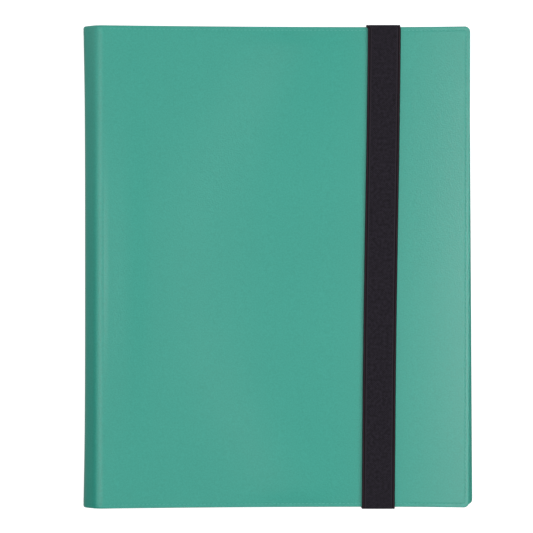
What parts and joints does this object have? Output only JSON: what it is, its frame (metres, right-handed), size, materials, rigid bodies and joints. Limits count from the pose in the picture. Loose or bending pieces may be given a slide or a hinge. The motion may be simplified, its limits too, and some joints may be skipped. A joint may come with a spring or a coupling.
{
  "type": "collecting album",
  "caption": "Soft-covered collecting album with a round spine, clear pocket leaves on a binding strip and a wide elastic strap round the covers.",
  "frame": {"origin": "middle of the closed album's outline, on the surface that it lies on", "axes": "+X from the spine to the fore edge, +Y to the head, +Z out of the front cover"},
  "size_m": [0.2522, 0.3126, 0.025],
  "materials": {
    "cover_sheet": "satin, finely grained",
    "lining_sheet": "matte",
    "board": "plain greyboard",
    "binding": "matte",
    "elastic": "woven elastic",
    "leaf_core": "matte",
    "pocket_film": "clear film"
  },
  "bodies": {
    "back_cover": {"back_cover_skin": "cover_sheet", "back_board": "board", "back_lining": "lining_sheet", "strap_end_tabs": "elastic"},
    "spine": {"spine_skin": "cover_sheet", "binding_strip": "binding"},
    "front_cover": {"front_cover_skin": "cover_sheet", "front_board": "board", "front_lining": "lining_sheet"},
    "strap": {"elastic_strap": "elastic"},
    "leaf_01": {"leaf_01_core": "leaf_core", "leaf_01_pockets": "pocket_film"},
    "leaf_02": {"leaf_02_core": "leaf_core", "leaf_02_pockets": "pocket_film"},
    "leaf_03": {"leaf_03_core": "leaf_core", "leaf_03_pockets": "pocket_film"},
    "leaf_04": {"leaf_04_core": "leaf_core", "leaf_04_pockets": "pocket_film"},
    "leaf_05": {"leaf_05_core": "leaf_core", "leaf_05_pockets": "pocket_film"},
    "leaf_06": {"leaf_06_core": "leaf_core", "leaf_06_pockets": "pocket_film"},
    "leaf_07": {"leaf_07_core": "leaf_core", "leaf_07_pockets": "pocket_film"},
    "leaf_08": {"leaf_08_core": "leaf_core", "leaf_08_pockets": "pocket_film"},
    "leaf_09": {"leaf_09_core": "leaf_core", "leaf_09_pockets": "pocket_film"},
    "leaf_10": {"leaf_10_core": "leaf_core", "leaf_10_pockets": "pocket_film"},
    "leaf_11": {"leaf_11_core": "leaf_core", "leaf_11_pockets": "pocket_film"},
    "leaf_12": {"leaf_12_core": "leaf_core", "leaf_12_pockets": "pocket_film"},
    "leaf_13": {"leaf_13_core": "leaf_core", "leaf_13_pockets": "pocket_film"},
    "leaf_14": {"leaf_14_core": "leaf_core", "leaf_14_pockets": "pocket_film"},
    "leaf_15": {"leaf_15_core": "leaf_core", "leaf_15_pockets": "pocket_film"},
    "leaf_16": {"leaf_16_core": "leaf_core", "leaf_16_pockets": "pocket_film"},
    "leaf_17": {"leaf_17_core": "leaf_core", "leaf_17_pockets": "pocket_film"},
    "leaf_18": {"leaf_18_core": "leaf_core", "leaf_18_pockets": "pocket_film"},
    "leaf_19": {"leaf_19_core": "leaf_core", "leaf_19_pockets": "pocket_film"},
    "leaf_20": {"leaf_20_core": "leaf_core", "leaf_20_pockets": "pocket_film"}
  },
  "joints": [
    {"name": "spine_hinge", "type": "hinge", "parent": "back_cover", "child": "spine", "pos_m": [-0.1227, 0, 0.00439], "axis": [0, -1, 0], "range_deg": [0, 95.5]},
    {"name": "front_cover_hinge", "type": "hinge", "parent": "spine", "child": "front_cover", "pos_m": [-0.12176, 0, 0.02155], "axis": [0, -1, 0], "range_deg": [0, 86]},
    {"name": "leaf_01_turn", "type": "hinge", "parent": "spine", "child": "leaf_01", "pos_m": [-0.12095, 0, 0.01678], "axis": [0, -1, 0], "range_deg": [0, 76.1]},
    {"name": "leaf_02_turn", "type": "hinge", "parent": "spine", "child": "leaf_02", "pos_m": [-0.12095, 0, 0.01632], "axis": [0, -1, 0], "range_deg": [0, 68.1]},
    {"name": "leaf_03_turn", "type": "hinge", "parent": "spine", "child": "leaf_03", "pos_m": [-0.12095, 0, 0.01588], "axis": [0, -1, 0], "range_deg": [0, 60.1]},
    {"name": "leaf_04_turn", "type": "hinge", "parent": "spine", "child": "leaf_04", "pos_m": [-0.12095, 0, 0.01542], "axis": [0, -1, 0], "range_deg": [0, 52.1]},
    {"name": "leaf_05_turn", "type": "hinge", "parent": "spine", "child": "leaf_05", "pos_m": [-0.12095, 0, 0.01498], "axis": [0, -1, 0], "range_deg": [0, 44.1]},
    {"name": "leaf_06_turn", "type": "hinge", "parent": "spine", "child": "leaf_06", "pos_m": [-0.12095, 0, 0.01452], "axis": [0, -1, 0], "range_deg": [0, 36.1]},
    {"name": "leaf_07_turn", "type": "hinge", "parent": "spine", "child": "leaf_07", "pos_m": [-0.12095, 0, 0.01408], "axis": [0, -1, 0], "range_deg": [0, 28.1]},
    {"name": "leaf_08_turn", "type": "hinge", "parent": "spine", "child": "leaf_08", "pos_m": [-0.12095, 0, 0.01362], "axis": [0, -1, 0], "range_deg": [0, 20.1]},
    {"name": "leaf_09_turn", "type": "hinge", "parent": "spine", "child": "leaf_09", "pos_m": [-0.12095, 0, 0.01317], "axis": [0, -1, 0], "range_deg": [0, 12.1]},
    {"name": "leaf_10_turn", "type": "hinge", "parent": "spine", "child": "leaf_10", "pos_m": [-0.12095, 0, 0.01273], "axis": [0, -1, 0], "range_deg": [0, 4.1]},
    {"name": "leaf_11_turn", "type": "hinge", "parent": "spine", "child": "leaf_11", "pos_m": [-0.12095, 0, 0.01227], "axis": [0, -1, 0], "range_deg": [-4.1, 0]},
    {"name": "leaf_12_turn", "type": "hinge", "parent": "spine", "child": "leaf_12", "pos_m": [-0.12095, 0, 0.01183], "axis": [0, -1, 0], "range_deg": [-12.1, 0]},
    {"name": "leaf_13_turn", "type": "hinge", "parent": "spine", "child": "leaf_13", "pos_m": [-0.12095, 0, 0.01137], "axis": [0, -1, 0], "range_deg": [-20.1, 0]},
    {"name": "leaf_14_turn", "type": "hinge", "parent": "spine", "child": "leaf_14", "pos_m": [-0.12095, 0, 0.01093], "axis": [0, -1, 0], "range_deg": [-28.1, 0]},
    {"name": "leaf_15_turn", "type": "hinge", "parent": "spine", "child": "leaf_15", "pos_m": [-0.12095, 0, 0.01047], "axis": [0, -1, 0], "range_deg": [-36.1, 0]},
    {"name": "leaf_16_turn", "type": "hinge", "parent": "spine", "child": "leaf_16", "pos_m": [-0.12095, 0, 0.01002], "axis": [0, -1, 0], "range_deg": [-44.1, 0]},
    {"name": "leaf_17_turn", "type": "hinge", "parent": "spine", "child": "leaf_17", "pos_m": [-0.12095, 0, 0.00958], "axis": [0, -1, 0], "range_deg": [-52.1, 0]},
    {"name": "leaf_18_turn", "type": "hinge", "parent": "spine", "child": "leaf_18", "pos_m": [-0.12095, 0, 0.00912], "axis": [0, -1, 0], "range_deg": [-60.1, 0]},
    {"name": "leaf_19_turn", "type": "hinge", "parent": "spine", "child": "leaf_19", "pos_m": [-0.12095, 0, 0.00868], "axis": [0, -1, 0], "range_deg": [-68.1, 0]},
    {"name": "leaf_20_turn", "type": "hinge", "parent": "spine", "child": "leaf_20", "pos_m": [-0.12095, 0, 0.00822], "axis": [0, -1, 0], "range_deg": [-76.1, 0]},
    {"name": "strap_release", "type": "slide", "parent": "back_cover", "child": "strap", "axis": [0, 0, 1], "range_m": [-0.0134, 0], "deforming": ["elastic_strap"]}
  ],
  "couplings": [
    {"joint": "front_cover_hinge", "follows": "spine_hinge", "ratio": 0.8985},
    {"joint": "leaf_01_turn", "follows": "spine_hinge", "ratio": 0.79581},
    {"joint": "leaf_02_turn", "follows": "spine_hinge", "ratio": 0.71204},
    {"joint": "leaf_03_turn", "follows": "spine_hinge", "ratio": 0.62827},
    {"joint": "leaf_04_turn", "follows": "spine_hinge", "ratio": 0.5445},
    {"joint": "leaf_05_turn", "follows": "spine_hinge", "ratio": 0.46073},
    {"joint": "leaf_06_turn", "follows": "spine_hinge", "ratio": 0.37696},
    {"joint": "leaf_07_turn", "follows": "spine_hinge", "ratio": 0.29319},
    {"joint": "leaf_08_turn", "follows": "spine_hinge", "ratio": 0.20942},
    {"joint": "leaf_09_turn", "follows": "spine_hinge", "ratio": 0.12565},
    {"joint": "leaf_10_turn", "follows": "spine_hinge", "ratio": 0.041885},
    {"joint": "leaf_11_turn", "follows": "spine_hinge", "ratio": -0.041885},
    {"joint": "leaf_12_turn", "follows": "spine_hinge", "ratio": -0.12565},
    {"joint": "leaf_13_turn", "follows": "spine_hinge", "ratio": -0.20942},
    {"joint": "leaf_14_turn", "follows": "spine_hinge", "ratio": -0.29319},
    {"joint": "leaf_15_turn", "follows": "spine_hinge", "ratio": -0.37696},
    {"joint": "leaf_16_turn", "follows": "spine_hinge", "ratio": -0.46073},
    {"joint": "leaf_17_turn", "follows": "spine_hinge", "ratio": -0.5445},
    {"joint": "leaf_18_turn", "follows": "spine_hinge", "ratio": -0.62827},
    {"joint": "leaf_19_turn", "follows": "spine_hinge", "ratio": -0.71204},
    {"joint": "leaf_20_turn", "follows": "spine_hinge", "ratio": -0.79581},
    {"joint": "strap_release", "follows": "spine_hinge", "m_per_rad": -0.008}
  ]
}
